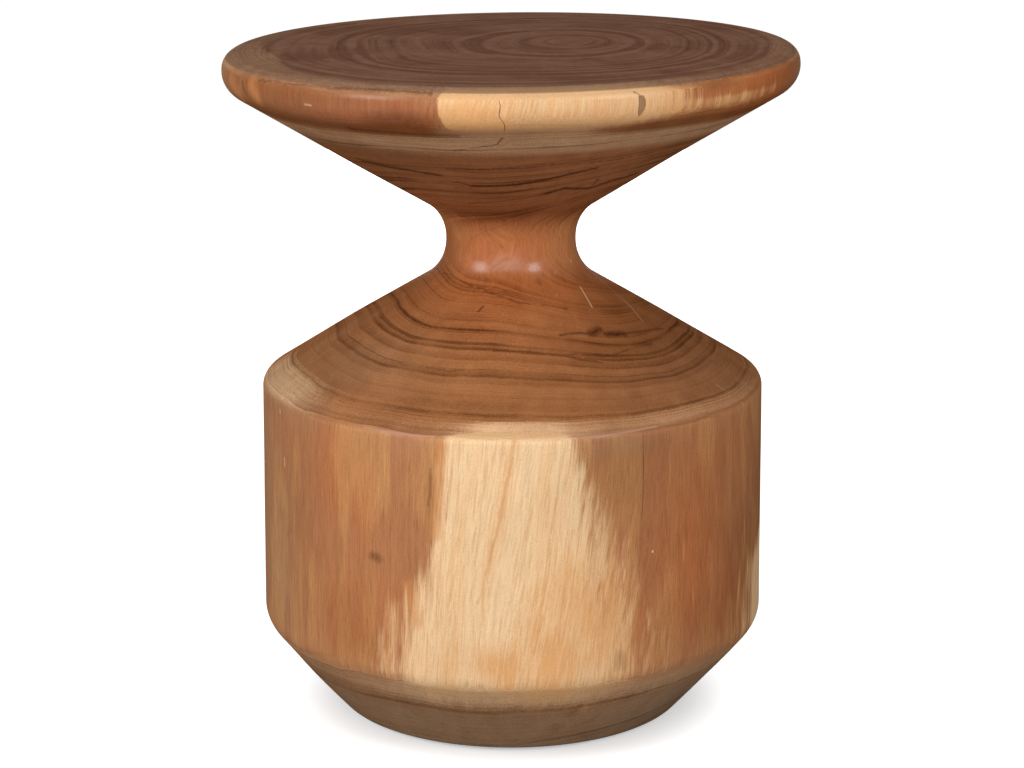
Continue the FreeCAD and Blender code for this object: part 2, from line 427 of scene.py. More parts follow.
# How the log grew: the pith leans towards +X and the back, the inner rings are eccentric about it and
# a little long from front to back, and the outermost ones follow the bark.
PITH_LEVELS = (0.25, 0.51)
PITH_X = (0.0344, 0.0480)
PITH_Y = (0.0523, 0.0230)
BARK_RADIUS = 0.210
RING_STRETCH = 0.25
LOBE_HEIGHT = 0.0039
LOBE_TURN = math.radians(199)
LOBE_RADIUS = 0.120
LOBE_SPREAD = 0.050
FRONT_LEVELS = (0.078, 0.106, 0.1385, 0.160, 0.183, 0.212, 0.257)
FRONT_LEFT = (-26.8, -25.0, -21.4, -18.0, -16.7, -15.9, -14.3)
FRONT_RIGHT = (27.0, 26.0, 24.5, 22.5, 20.0, 16.5, 12.9)


def ring_of(x, y, z):
    """The radius of the growth ring through each point. A ring of radius a is a circle about
    pith * (1 - a / bark), which is solved for a, then once more with the distances from front to back
    shortened by the stretch that rings have there; four shallow lobes are taken off."""
    pith_x = np.interp(z, PITH_LEVELS, PITH_X)
    pith_y = np.interp(z, PITH_LEVELS, PITH_Y)
    stretch = 1.0
    for _ in range(2):
        along_x, along_y = x - pith_x, (y - pith_y) / stretch
        lean_x, lean_y = pith_x / BARK_RADIUS, pith_y / BARK_RADIUS / stretch
        dot = along_x * lean_x + along_y * lean_y
        rest = 1 - lean_x ** 2 - lean_y ** 2
        ring = (dot + np.sqrt(dot ** 2 + rest * (along_x ** 2 + along_y ** 2))) / rest
        stretch = 1 + RING_STRETCH * np.clip(1 - ring / BARK_RADIUS, 0, 1)
    azimuth = np.arctan2(x, -y)
    lobes = np.cos(4 * azimuth - LOBE_TURN) * np.exp(-((ring - LOBE_RADIUS) / LOBE_SPREAD) ** 2)
    return ring - LOBE_HEIGHT * lobes


def step(value, low, high):
    """0 below low and 1 above high, with a smooth rise between."""
    share = np.clip((value - low) / (high - low), 0, 1)
    return share * share * (3 - 2 * share)


def hump(value, middle, spread):
    """1 at the middle, falling off as a bell with the given spread."""
    return np.exp(-0.5 * ((value - middle) / spread) ** 2)


def bell(azimuth, middle, spread):
    """A hump over the azimuth, in degrees from its middle the short way round."""
    return hump((azimuth - middle + 180) % 360 - 180, 0, spread)


def bells(azimuth, *places):
    """The sum of several bells: each is its middle and spread in degrees, and its height."""
    return sum(height * bell(azimuth, middle, spread) for middle, spread, height in places)


# The heartwood's radius in the drum and in the head, and the sapwood's dips into it round the back: the
# azimuth, how wide in degrees, the heights that a dip grows between, and how deep.
WAIST_HEIGHT = 0.35
DRUM_HEART = 0.206
DRUM_DIPS = ((91, 16, 0.190, 0.100, 0.034), (172, 20, 0.060, 0.230, 0.025), (-128, 12, 0.230, 0.110, 0.020))
HEAD_HEART = 0.2188
HEAD_DIPS = ((-112, 12, 0.013), (176, 16, 0.010), (128, 12, 0.019))
DEPTH_A_DEGREE = 0.0015


def sapwood_depth(azimuth, radius, z):
    """How far outside the heartwood a point lies, in metres: negative inside it. On the drum's front it
    grows inwards from the two edges of a pale patch, and elsewhere it is the distance outside a
    heartwood radius that dips here and there."""
    left = azimuth - np.interp(z, FRONT_LEVELS, FRONT_LEFT)
    right = np.interp(z, FRONT_LEVELS, FRONT_RIGHT) - azimuth
    patch = np.clip(np.minimum(left, right) * DEPTH_A_DEGREE, -0.03, 0.012)
    patch = patch + np.minimum(0, (radius - 0.1885) * 3) * (z > 0.2) + np.minimum(0, (z - 0.0775) * 0.6)
    drum, head = DRUM_HEART, HEAD_HEART
    for middle, wide, low, high, deep in DRUM_DIPS:
        drum = drum - deep * bell(azimuth, middle, wide) * step(z, low, high)
    head = head - bells(azimuth, *HEAD_DIPS)
    front = azimuth + (z - 0.4995) * 20
    head = head - 0.0182 * step(front, -13.9, -11.9) * step(azimuth, 42, 19)
    head = head + 0.0045 * step(azimuth, 35, 46) * step(azimuth, 100, 85)
    head = head - 0.0108 * hump(azimuth, 48, 9) * step(z, 0.4985, 0.4935)
    head = head + 0.006 * step(z, 0.503, 0.509) + 0.0045 * step(z, 0.492, 0.480)
    return np.where(z < WAIST_HEIGHT, np.maximum(patch, radius - drum), radius - head)


def border_width(azimuth, z):
    """How far the heartwood fades into the sapwood, in metres of depth: little at the left edges of the
    pale patches in front, and much at their right ones."""
    drum = 0.0024 + 0.0090 * step(azimuth, 4, 16) * step(z, 0.250, 0.170)
    drum = np.maximum(drum, 0.0024 + 0.0066 * step(z, 0.165, 0.125))
    head = 0.0022 + 0.0040 * step(azimuth, 10, 34) + 0.0018 * step(z, 0.490, 0.482)
    drum = drum * (1 - 0.75 * step(azimuth, 64, 74))
    return np.where(z < WAIST_HEIGHT, drum, head)


def polish_share(azimuth, z):
    """How polished the turned surface is: most at the rim, at the drum's upper arris, and at the front
    and the back of the waist, where hands go round it."""
    waist = hump(z, 0.348, 0.009) * bells(azimuth, (0, 26, 1), (180, 40, 1))
    rim = hump(z, 0.4965, 0.0065) * step(z, 0.5096, 0.5050)
    rim = rim * bells(azimuth, (-26, 15, 0.55), (18, 8, 0.45), (175, 50, 0.40))
    arris = hump(z, 0.2565, 0.0035) * bells(azimuth, (0, 30, 0.30))
    return np.clip(waist + rim + arris, 0, 1)


def edge_share(azimuth, radius, z):
    """How much of the pale wood next to the sapwood a slanted or flat surface shows, 0 to 1."""
    left = bell(azimuth, -76, 16)
    right = bell(azimuth, 84, 18)
    inwards = 0.022 * left + 0.012 * right + 0.006 * step(azimuth, -12, -40)
    top = step(radius, 0.2010 - inwards, 0.2055 - inwards)
    front_and_back = bells(azimuth, (12, 17, 0.26), (-32, 16, 0.20), (180, 22, 0.30))
    top = top * (0.34 + 0.22 * left + 0.12 * right + front_and_back)
    beside = 1 - step(azimuth, -19, -11) * step(azimuth, 26, 10)
    under = step(radius, 0.156, 0.176) * (0.80 - 0.25 * bell(azimuth, -50, 20))
    under = under * (1 - 0.95 * beside * step(radius, 0.188, 0.199))
    shoulder = step(radius, 0.1755 - 0.014 * left, 0.1790 - 0.008 * left)
    shoulder = shoulder * step(radius, 0.1898, 0.1878)
    shoulder = shoulder * (0.26 + bells(azimuth, (1, 8, 0.78), (42, 22, 0.20)))
    shoulder = np.maximum(shoulder, left * step(radius, 0.160, 0.172))
    base = step(z, 0.046, 0.060) * (1 - 0.45 * step(azimuth, -20, -45))
    return np.where(z > 0.495, top, np.where(z > 0.36, under, np.where(z > 0.15, shoulder, base)))


LEAN_LEVEL = 0.16
LEANS = ((6, 17, 0.15), (55, 20, 0.035))


def fibre_lean(azimuth, z):
    """How far to the right the fibres have moved at a height, in metres: they lean most at the front."""
    return bells(azimuth, *LEANS) * (z - LEAN_LEVEL)


# Soft places where the wood is redder, darker or greyer than the rest, and where painted shade darkens the
# side edges and the foot's bottom edge: azimuth, height in millimetres, how wide in degrees, how tall in
# millimetres, and how much.
RED_PLACES = (
    (-25, 490, 17, 9, 1.15), (50, 489, 13, 7, 0.5), (-45, 495, 14, 20, 0.45), (60, 497, 16, 18, 1.1),
    (20, 120, 8, 40, 0.5), (10, 92, 6, 20, 0.52), (-3, 90, 5, 10, 0.6), (52, 110, 14, 40, 0.5),
    (0, 352, 80, 26, 0.95), (30, 335, 30, 16, 0.35), (44, 150, 9, 60, 0.7), (-42, 225, 4, 30, 0.5),
    (-35, 205, 3, 30, 0.45), (-36, 110, 9, 30, 0.4), (53, 225, 9, 40, 0.3), (26, 95, 10, 35, 0.42),
    (15, 489, 30, 10, 0.46), (5, 315, 34, 14, 0.3), (150, 150, 20, 60, 0.6), (-110, 180, 16, 80, 0.5),
    (120, 495, 14, 18, 0.6), (6, 438, 42, 22, 0.42), (-140, 495, 20, 18, 0.7), (-5, 405, 60, 12, 0.3),
    (2, 85, 20, 16, 0.22),
)
# The dark places are partly the wood's own dark patches and partly painted shade. These are painted shade:
# 80 and -84 degrees on the drum, -70, -78 and 86 on the waist, and 80 and -80 on the rim darken the side
# edges. The one 3 mm up all round darkens the foot's bottom edge by the floor.
DARK_AND_SHADED_PLACES = (
    (25, 222, 8, 30, 0.72), (31, 170, 4, 45, 0.45), (-17.2, 216, 1.3, 17, 0.7), (62, 130, 12, 50, 0.62),
    (80, 190, 9, 80, 0.5), (-51, 215, 3.5, 50, 0.22), (-58, 150, 4, 60, 0.3), (-34, 95, 7, 24, 0.35),
    (-22, 165, 4, 40, 0.2), (-74, 320, 20, 20, 0.5), (62, 305, 24, 30, 0.65), (35, 325, 16, 10, 0.35),
    (50, 200, 12, 60, 0.35), (-84, 170, 7, 90, 0.3), (-27, 493, 14, 14, 0.85), (42, 503.8, 5, 3.5, 0.8),
    (-33, 478.5, 27, 5.5, 1.2), (62, 476.5, 22, 4.5, 1.0), (-60, 494, 20, 20, 0.6),
    (29, 475.5, 13, 5, 0.55), (0, 346, 44, 13, 0.62), (-70, 352, 24, 22, 1.0), (-35, 505.5, 22, 3.5, 0.7),
    (-36, 447, 16, 18, 0.8), (-34, 488, 8, 9, 0.9), (-22, 488.5, 8, 8.5, 1.6), (8, 503.5, 26, 5, 0.95),
    (80, 494, 20, 20, 1.1), (-78, 352, 22, 22, 0.6), (-50, 462, 20, 6, 0.7), (-55, 445, 28, 22, 0.55),
    (70, 445, 16, 22, 0.25), (50, 100, 15, 32, 0.6), (-80, 490, 12, 20, 0.5), (140, 215, 14, 50, 0.5),
    (-150, 120, 12, 70, 0.5), (100, 150, 7, 70, 0.4), (0, 395, 50, 6, 0.35), (0, 3, 180, 5, 0.3),
    (-40, 494, 22, 16, 0.75), (86, 350, 16, 30, 0.4), (-45, 493.5, 36, 18, 1.1), (-55, 40, 25, 20, 0.5),
)
GREY_PLACES = (
    (-78, 170, 9, 90, 0.6), (-64, 130, 5, 60, 0.45), (22, 249, 9, 7, 0.35), (-22, 250, 7, 6, 0.25),
    (-70, 262, 16, 12, 0.6), (-50, 288, 15, 18, 0.35), (60, 270, 20, 16, 0.25), (-84, 495, 8, 18, 0.45),
    (0, 26, 180, 24, 1.15), (0, 462, 180, 8.5, 0.45), (46, 28, 34, 26, 1.55), (0, 4, 180, 9, 1.55),
    (86, 495, 8, 18, 0.5), (6, 436, 60, 24, 0.3),
)


def soft_places(places, azimuth, z):
    """The highest of the bells that stand at the listed places."""
    total = 0 * z
    for middle, height, wide, tall, amount in places:
        level = hump(z, height * MILLIMETRE, tall * MILLIMETRE)
        total = np.maximum(total, amount * bell(azimuth, middle, wide) * level)
    return total


def upward_share(radius, z):
    """The upward part of the turned surface's normal: the surface's own on the outside, and straight up
    or down on the flat top and the underside."""
    out = surface_at(z)[2]
    out = np.where(z > 0.5, step(out, 0.06, 0.80), out)
    out = np.where(z > TOP_HEIGHT - 1e-5, 1.0, out)
    return np.where((z < 0.03) & (radius < 0.117), -1.0, out)


# Turning and sanding by hand leave the surface a hair uneven, always inwards, and the head sits a
# little out of true: its left side is lower. The drum is a hair off the axis. A wave is how often it goes
# round, how fast it climbs in radians a metre, where it starts and its share.
UNEVEN = 0.00016
WAVES = ((3, 40, 0, 1.0), (7, -55, 1, 1.0), (11, 95, 2, 1.0), (16, 30, 4, 0.6), (2, 210, 0, 0.7))
HEAD_DROP = 0.0025
HEAD_REACH = 0.2152
DRUM_SHIFT = 0.0011
CONE_SHIFT = 0.0010


def settle(points):
    """The points moved as the real log's are: inwards by slow waves round and up, sideways in the drum,
    and down in the head by an amount that goes from twice the drop at -X to nothing at +X."""
    x, y, z = points.T.copy()
    radius = np.hypot(x, y)
    azimuth = np.arctan2(x, -y)
    waves = sum(share * np.sin(round_it * azimuth + up * z + start) for round_it, up, start, share in WAVES)
    most = sum(wave[-1] for wave in WAVES)
    inward = UNEVEN * (most - waves) / (2 * most) * step(radius, 0.02, 0.045) * step(z, 0.012, 0.03)
    shrink = 1 - inward / np.maximum(radius, 0.001)
    x, y = x * shrink, y * shrink
    x = x + DRUM_SHIFT * step(z, 0.03, 0.06) * step(z, 0.30, 0.26)
    x = x - CONE_SHIFT * hump(z, 0.430, 0.026)
    z = z + HEAD_DROP * (x / HEAD_REACH - 1) * step(z, 0.375, 0.440)
    return np.stack([x, y, z], 1)


FIBRE_RADIUS = 0.2
SPREAD_LIMITS = (0.9, 1.2)


def fibre_spread(radius, z):
    """What the distances across the fibres are scaled by, so that the fibres run straight down upright
    faces whose radius changes. Flat and slanted ones keep theirs."""
    slanted = step(np.abs(upward_share(radius, z)), 0.35, 0.85)
    return np.clip(FIBRE_RADIUS / np.maximum(radius, 0.01), *SPREAD_LIMITS) * (1 - slanted) + slanted


SHARP_EDGE = math.radians(32)


def show_figure(piece, ring_shift=0.0, depth_shift=0.0, tint_share=1.0, stain=0.0):
    """Write a wooden piece's growth rings, sapwood depth, end grain, lean, tints and painted shade to its
    points as floats, settle the points as the log's are, and mark its sharp edges."""
    mesh = piece.data
    points = np.empty(len(mesh.vertices) * 3, np.float32)
    mesh.vertices.foreach_get("co", points)
    points = points.reshape(-1, 3).astype(float)
    x, y, z = points.T
    radius = np.hypot(x, y)
    azimuth = np.degrees(np.arctan2(x, -y))
    figure = {
        "ring": ring_of(x, y, z) + ring_shift,
        "sapwood": sapwood_depth(azimuth, radius, z) + depth_shift,
        "border": border_width(azimuth, z),
        "polish": polish_share(azimuth, z),
        "edge": edge_share(azimuth, radius, z),
        "end_grain": np.abs(upward_share(radius, z)),
        "lean": fibre_lean(azimuth, z),
        "spread": fibre_spread(radius, z),
        "redness": soft_places(RED_PLACES, azimuth, z) * tint_share,
        "darkness": soft_places(DARK_AND_SHADED_PLACES, azimuth, z) * tint_share + stain,
        "greyness": soft_places(GREY_PLACES, azimuth, z) + stain,
    }
    for name, values in figure.items():
        layer = mesh.attributes.new(name, "FLOAT", "POINT")
        layer.data.foreach_set("value", values.astype(np.float32))
    mesh.vertices.foreach_set("co", settle(points).astype(np.float32).ravel())
    mesh.polygons.foreach_set("use_smooth", np.ones(len(mesh.polygons), bool))
    mesh.set_sharp_from_angle(angle=SHARP_EDGE)
    mesh.update()


def paint(red, green, blue):
    """A colour as a painter names it, in 0 to 255, turned into the linear one that a socket takes."""
    share = np.array([red, green, blue]) / 255
    linear = np.where(share <= 0.04045, share / 12.92, ((share + 0.055) / 1.055) ** 2.4)
    return (*linear.tolist(), 1.0)


def times(first, second, plus=None):
    """Two values multiplied, and a third one added where it is given."""
    if plus is None:
        return maths("MULTIPLY", first, second)
    return maths("MULTIPLY_ADD", first, second, plus)


def vectors(operation, *values, **others):
    """A Vector Math node's outputs."""
    inputs = {**dict(enumerate(values)), **others}
    return node_of(tree_of(values), "VectorMath", inputs, operation=operation).outputs


def tinted(share, first, second, kind="MIX"):
    """Two colours mixed by a share."""
    inputs = {"Factor": share, 6: first, 7: second}
    made = node_of(tree_of(inputs.values()), "Mix", inputs, data_type="RGBA", blend_type=kind)
    return made.outputs[2]


def noise(vector, stretch, offset=(0.0, 0.0, 0.0), detail=2.0, roughness=0.5):
    """A noise texture over coordinates scaled and shifted on each axis, centred on 0.5."""
    tree = vector.id_data
    mapped = node_of(tree, "Mapping", {"Vector": vector, "Location": offset, "Scale": stretch})
    inputs = {"Vector": mapped.outputs[0], "Scale": 1.0, "Detail": detail, "Roughness": roughness}
    return node_of(tree, "TexNoise", inputs).outputs[0]


def line_noise(position, scale, detail=2.0, roughness=0.5):
    """One-dimensional noise along a position."""
    inputs = {"W": position, "Scale": scale, "Detail": detail, "Roughness": roughness}
    return node_of(position.id_data, "TexNoise", inputs, noise_dimensions="1D").outputs[0]


def swing(value, amount, around=0.0):
    """A noise value swung about a number by an amount to each side."""
    return times(times(value, 2.0, -1.0), amount, around)


def tone_ramp(position, stops):
    """A grey ramp over positions: each stop is a position in millimetres and a tone."""
    reach = stops[-1][0]
    share = maths("DIVIDE", position, reach * MILLIMETRE)
    made = node_of(position.id_data, "ValToRGB", [share])
    elements = made.color_ramp.elements
    for place, _ in stops[1:-1]:
        elements.new(place / reach)
    for element, (_, tone) in zip(elements, stops):
        element.color = grey(tone)
    return made.outputs["Color"]


def group_tree(name, inputs, outputs):
    """A shader node group with named sockets, what it is given and what it puts out."""
    group = bpy.data.node_groups.new(name, "ShaderNodeTree")
    for way, sockets in (("INPUT", inputs), ("OUTPUT", outputs)):
        for socket, kind in sockets.items():
            group.interface.new_socket(socket, in_out=way, socket_type="NodeSocket" + kind)
    return group, group.nodes.new("NodeGroupInput").outputs, group.nodes.new("NodeGroupOutput").inputs


# A mark is a straight stroke on the surface: its full amount within its reach of the line from start to
# end, and 0 outside, with a soft border.
stroke, given, put = group_tree(
    "stroke", {**dict.fromkeys(("Place", "Start", "End"), "Vector"),
               **dict.fromkeys(("Reach", "Softness", "Amount"), "Float")}, {"Mask": "Float"})
run = vectors("SUBTRACT", given["End"], given["Start"])[0]
gone = vectors("SUBTRACT", given["Place"], given["Start"])[0]
share = [vectors("DOT_PRODUCT", one, run)["Value"] for one in (gone, run)]
share = maths("MINIMUM", maths("MAXIMUM", maths("DIVIDE", *share), 0.0), 1.0)
aside = vectors("DISTANCE", gone, vectors("SCALE", run, Scale=share)[0])["Value"]
blur = times(given["Reach"], given["Softness"])
feed(put["Mask"], rise(aside, maths("SUBTRACT", given["Reach"], blur), maths("ADD", given["Reach"], blur),
                       given["Amount"], 0.0))

# The log's marks by colour. Each is a path on the turned surface, as azimuths and heights in millimetres
# by turns, its reach in millimetres, its softness and its amount.
DARK_MARKS = (
    ((20, 310.7, 29, 310.5, 35, 309.8), 1.1, 0.9, 0.7),
    ((33.6, 309.4, 38.4, 310.8), 3.4, 0.95, 0.8),
    ((40.5, 307.6, 48, 306.2), 3, 0.95, 0.9),
    ((47, 306.2, 57, 304.5, 72, 301), 1.2, 0.95, 0.55),
    ((-6, 303.1, 7, 302.5, 16, 300.3, 23, 297.1, 30, 293.8), 1.1, 0.9, 0.62),
    ((16, 300.3, 31, 297.5, 36, 296.9, 56, 297.2), 1, 0.9, 0.55),
    ((4, 302.4, 18, 299.8), 1.6, 0.95, 0.45),
    ((30.2, 297.8, 31.6, 297.2), 2, 0.95, 0.6),
    ((-27, 292, -20, 291.5, -14, 292), 0.7, 0.9, 0.5),
    ((-37.6, 292.2, -34.5, 291.4), 0.7, 0.9, 0.45),
    ((-17, 323.8, -15.3, 326.8), 0.7, 0.9, 0.85),
    ((15.8, 46, 15.2, 40), 4, 0.98, 0.22),
    ((12.6, 27, 12.2, 24), 5, 0.98, 0.2),
    ((-31.8, 162.5, -30.4, 161.7), 3, 0.98, 0.55),
    ((-17.7, 233, -18.1, 206), 0.8, 0.98, 0.35),
    ((24.2, 90, 24.2, 85), 4.4, 0.98, 0.28),
    ((-64, 341.1, -32, 338, -14, 334.5, 4, 329, 30, 324), 1, 0.95, 0.5),
    ((20.6, 340.8, 22, 340.2), 2.2, 0.95, 0.4),
    ((14.8, 416.4, 21.4, 421.2, 34.3, 418.2, 41.7, 423.9, 54.3, 426), 1.8, 0.97, 0.95),
    ((13.5, 416, 20.6, 420.8), 2.6, 0.95, 0.6),
    ((38, 421, 54.3, 426.2), 2.4, 0.95, 0.55),
    ((34.3, 418.2, 32.7, 427.5), 0.9, 0.95, 0.7),
    ((-50.7, 443.1, -41.7, 439.8, -31.8, 438.6, -22.2, 435.6), 1.8, 0.97, 0.85),
    ((-46, 443.2, -35, 440.8), 2.6, 0.98, 0.4),
    ((-18.9, 442.2, -4.2, 444.3, 8.7, 447.9, 27.3, 446.4, 42.1, 449.4), 0.8, 0.95, 0.7),
    ((-42.3, 428.7, -17.4, 429, -13.5, 425.7), 1, 0.95, 0.7),
    ((-13.5, 425.7, 3.6, 428.1, 9.7, 430.8, 19.3, 436.2, 26.5, 440.1), 1.8, 0.97, 0.9),
    ((-20.3, 423.3, 3.7, 426), 0.7, 0.95, 0.6),
    ((0.1, 419.7, 8.4, 422.4), 0.8, 0.95, 0.6),
    ((-42.8, 402, -15.6, 407.1, 0, 410.7, 12.7, 415.5), 0.8, 0.95, 0.6),
    ((-0.3, 390.6, 14.2, 397.2, 33, 409.5), 0.8, 0.95, 0.5),
    ((-40.2, 388.8, -10.8, 393.3, 5.7, 398.1), 1, 0.95, 0.55),
    ((-12.9, 461.7, -3, 467.7, -1.7, 473.4), 0.6, 0.9, 0.9),
    ((-34, 476.8, -23.1, 476.3, -11, 475.7), 2.8, 0.98, 0.5),
    ((-63, 500.5, -61.5, 491), 1, 0.9, 0.6),
    ((-56.5, 504.4, -45, 505.6, -35.1, 506.4), 1, 0.98, 0.42),
    ((-35.1, 506.4, -26.6, 507.2, -14.9, 506.6), 1.2, 0.98, 0.55),
    ((23, 504.8, 24.3, 502.4), 0.7, 0.9, 0.6),
)
PALE_MARKS = (
    ((61.4, 350.9, 51.8, 333.1, 45.6, 322.6), 0.5, 0.9, 0.6),
    ((88, 335.3, 71.7, 316, 66, 308.5), 0.4, 0.9, 0.38),
    ((37.5, 345.6, 29.4, 331.4), 0.4, 0.9, 0.25),
    ((61.5, 269, 63.2, 256), 0.5, 0.9, 0.35),
    ((31.8, 166.2, 31.8, 165.8), 0.8, 0.7, 0.8),
    ((-64.8, 258.5, -64.4, 248), 0.6, 0.9, 0.75),
    ((-62.2, 215, -62, 209), 0.6, 0.9, 0.65),
    ((88, 142, 84.5, 118), 11, 0.9, 0.45),
    ((84.5, 118, 81, 78), 14, 0.6, 0.5),
    ((-41.6, 493.5, -40.1, 493.3), 0.7, 0.9, 0.4),
    ((-51, 468.6, -34.1, 465.6, -22.1, 464.4, -11, 463.2), 1, 0.95, 0.2),
    ((-11, 463.2, 0, 466, 14.1, 466.2, 33.9, 465.6, 48.9, 465.9), 1, 0.95, 0.22),
)
ORANGE_MARKS = (
    ((0.4, 256, -2.6, 200), 1.4, 0.95, 0.6),
    ((-2.6, 200, -5.8, 157), 1.1, 0.95, 0.5),
    ((-5.8, 157, -7.4, 136), 0.8, 0.95, 0.32),
    ((9.4, 214, 7.4, 170, 5.2, 100), 0.7, 0.95, 0.28),
    ((12.8, 190, 9.8, 105), 0.9, 0.95, 0.3),
    ((-15.4, 250, -16.6, 185), 4, 0.98, 0.55),
    ((-23, 145, -21, 118), 4.2, 0.98, 0.5),
    ((-70, 497, -66, 490), 6.2, 0.98, 0.42),
    ((-58.6, 499, -57, 492.5), 5.6, 0.95, 0.55),
)
# Painted highlights: thin pinkish white lines along the drum's upper arris, where the soft boxes glint on
# the small rounding.
ARRIS_HIGHLIGHT_MARKS = (
    ((-34, 257.2, -28, 257, -22, 256.7, -17, 256.7), 0.7, 0.9, 0.35),
    ((13, 256.7, 20, 256.8, 27, 257.4, 33, 258), 0.7, 0.9, 0.4),
)


def marks_of(place, marks):
    """The strongest of the listed marks at a place. Their points settle with the log's."""
    total = 0.0
    for path, reach, softness, amount in marks:
        azimuth, height = np.reshape(path, (-1, 2)).T
        turn, height = np.radians(azimuth), height * MILLIMETRE
        radius = surface_at(height)[0]
        points = settle(np.stack([radius * np.sin(turn), -radius * np.cos(turn), height], 1)).tolist()
        for start, end in zip(points, points[1:]):
            inputs = (place, start, end, reach * MILLIMETRE, softness, amount)
            mask = node_of(place.id_data, "Group", inputs, node_tree=stroke).outputs["Mask"]
            total = maths("MAXIMUM", total, mask)
    return total


# The wood's figure. Rings are (radius in millimetres, tone): late wood is a narrow dark line that starts
# softly on its inner side and stops sharply on the outer one.
RING_TONES = (
    (0, 0.45), (21, 0.58), (22.5, 0.4), (31, 0.6), (33, 0.34), (34, 0.6),
    (61.5, 0.6), (64, 0.34), (65, 0.62), (78.5, 0.6), (81, 0.3), (82, 0.63),
    (105, 0.6), (107.5, 0.3), (108.5, 0.62), (112, 0.6), (114.3, 0.36), (115.3, 0.6),
    (125.5, 0.54), (128.7, -0.1), (129.7, 0.58), (133.5, 0.56), (135.7, 0.26), (136.6, 0.6),
    (145, 0.58), (147.6, 0.08), (148.6, 0.6), (171.5, 0.6), (174.5, 0.3), (175.7, 0.7),
    (183.5, 0.68), (220, 0.6),
)
# Each wood's colour along the grain, on slanted faces and on end grain, and the heartwood's deeper ones.
HEART = (paint(205, 147, 97), paint(171, 114, 72), paint(134, 98, 79))
HEART_DEEP = (paint(179, 120, 81), paint(147, 95, 58), paint(112, 78, 62))
SAP = (paint(246, 210, 165), paint(216, 176, 132), paint(152, 118, 88))
WARM_SAP = paint(225, 163, 104)
EDGE_SLANT = paint(217, 172, 130)
EDGE_END = paint(155, 121, 93)
RED_TINT = paint(206, 110, 54)
# The dark tint colours the wood's dark patches and also the painted shade at the side edges and along the
# foot's bottom edge.
DARK_WOOD_AND_SHADE_TINT = paint(104, 53, 22)
GREY_TINT = paint(168, 140, 112)
DARK_MARK = paint(80, 43, 25)
PALE_MARK = paint(236, 206, 170)
ORANGE_MARK = paint(214, 144, 86)
# The pinkish white of the painted highlight along the drum's upper arris.
ARRIS_HIGHLIGHT_PAINT = paint(214, 164, 142)
# How much more a shadow in the figure darkens each colour channel.
DEEPENING = (1.0, 1.16, 1.34)
# How far fibres sway, lines wander off true rings and a mark's edge is shaken, in metres.
FIBRE_WOBBLE = 0.007
RING_WANDER = 0.0036
MARK_SHAKE = 0.0034
FIGURE_LAYERS = ("Ring", "Sapwood", "Border", "Edge", "End grain", "Lean", "Spread", "Redness", "Darkness",
                 "Greyness")

figure, given, put = group_tree("log_figure", {"Place": "Vector", **dict.fromkeys(FIGURE_LAYERS, "Float")},
                                {"Colour": "Color", "Gloss loss": "Float", "Height": "Float"})
straight, border = given["Place"], given["Border"]

# Fibres run up the log: their coordinates are squeezed to keep them upright and pushed aside by the lean.
# Each noise is given how fine it is on the three axes, its shift, its detail and its roughness.
wobble = noise(straight, (11, 11, 7), (3, 8, 5), 1.0)
spread = node_of(figure, "CombineXYZ", (given["Spread"], given["Spread"], 1.0))
sideways = node_of(figure, "CombineXYZ", [swing(wobble, FIBRE_WOBBLE, given["Lean"])])
place = vectors("MULTIPLY", straight, spread.outputs[0])[0]
place = vectors("SUBTRACT", place, sideways.outputs[0])[0]
fibres = noise(place, (860, 860, 46), detail=4.0, roughness=0.62)
strands = noise(place, (230, 230, 9), (3, 1, 4), 3.0, 0.55)
fingers = noise(place, (150, 150, 22), (6, 6, 6))
bands = noise(place, (62, 62, 6), (1, 7, 2))
clouds = noise(place, (15, 15, 8), (5, 2, 9))
pore = rise(noise(place, (1250, 1250, 85), (2, 2, 2), 1.0), 0.62, 0.74)
grain = noise(straight, (900, 900, 900), roughness=0.6)

# How the surface lies: slanted from 0 to 1, flat on top, and upright elsewhere.
slant = rise(given["End grain"], 0.20, 0.80)
flat = rise(given["End grain"], 0.88, 0.985)
upright = maths("SUBTRACT", 1.0, times(flat, 0.95))

# Growth rings: the drawn ones, fine hair lines between them and a few thin veins.
wander = noise(straight, (17, 17, 6), (4, 4, 4), 3.0, 0.45)
ring = maths("ADD", given["Ring"], swing(wander, RING_WANDER, swing(strands, 0.0003)))
late = tone_ramp(ring, RING_TONES)
hairs = line_noise(ring, 420.0, 4.0, 0.65)
broad_hairs = line_noise(maths("ADD", ring, 0.7), 95.0)
fading = rise(noise(straight, (20, 20, 20), (8, 8, 1), 1.0), 0.30, 0.62, 0.3)
veins = maths("ABSOLUTE", maths("SUBTRACT", line_noise(ring, 105.0, 1.0), 0.5))
veins = rise(veins, 0.0, 0.018, -0.40, 0.0)
hair_depth = times(veins, fading, swing(hairs, 0.18, swing(broad_hairs, 0.08)))
figure_depth = times(maths("SUBTRACT", late, 0.6), fading, hair_depth)

# Sapwood: how deep in it a point lies, with a border that is ragged along the fibres.
rough_edge = swing(fibres, 0.9, swing(strands, 1.1, swing(fingers, 1.9)))
rough_edge = times(times(rough_edge, times(border, 0.6, 0.0010)), times(slant, -0.75, 1.0))
depth = maths("ADD", given["Sapwood"], rough_edge)
sap = rise(depth, times(border, -1.0), border)
edging = rise(swing(hairs, 0.22, swing(fibres, 0.18, given["Edge"])), 0.15, 0.85)


def by_slope(along, slanted, end_grain):
    """The colour of one kind of wood as its surface turns from along the grain to across it."""
    return tinted(flat, tinted(slant, along, slanted), end_grain)


